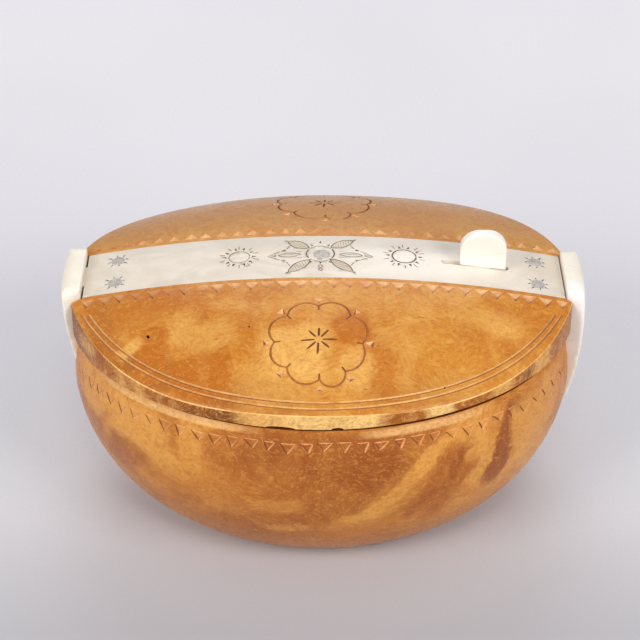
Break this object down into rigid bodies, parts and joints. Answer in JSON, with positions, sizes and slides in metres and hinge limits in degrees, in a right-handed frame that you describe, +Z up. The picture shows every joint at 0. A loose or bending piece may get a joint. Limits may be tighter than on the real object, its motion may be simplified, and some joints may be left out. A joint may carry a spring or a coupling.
{
  "type": "lidded wooden box",
  "caption": "Oval carved wooden box with a domed lid that tips up on an antler tongue, antler end posts, an inlaid band and a sliding bolt with a thumb tab.",
  "frame": {"origin": "centre of the bowl's foot, on the surface that the box stands on", "axes": "+X along the box towards the bolt, +Y to the back, +Z up"},
  "size_m": [0.1534, 0.1178, 0.0893],
  "materials": {
    "burl_wood": "oiled, satin",
    "antler": "smooth, polished by hand",
    "pin_metal": "filed flush"
  },
  "bodies": {
    "box": {"bowl": "burl_wood", "left_post": "antler", "right_post": "antler", "left_upper_peg": "antler", "left_lower_peg": "antler", "right_upper_peg": "antler", "right_lower_peg": "antler"},
    "lid": {"lid": "burl_wood", "lid_band": "antler", "left_back_pin": "pin_metal", "left_front_pin": "pin_metal", "middle_pin": "pin_metal", "right_back_pin": "pin_metal", "right_front_pin": "pin_metal"},
    "bolt": {"lock_bolt": "antler", "thumb_tab": "antler"}
  },
  "joints": [
    {"name": "lid_tilt", "type": "hinge", "parent": "box", "child": "lid", "pos_m": [-0.0722, 0, 0.07247], "axis": [0, -1, 0], "range_deg": [0, 15]},
    {"name": "bolt_slide", "type": "slide", "parent": "lid", "child": "bolt", "axis": [0.9906, 0, -0.1368], "range_m": [-0.007, 0.0045]}
  ]
}
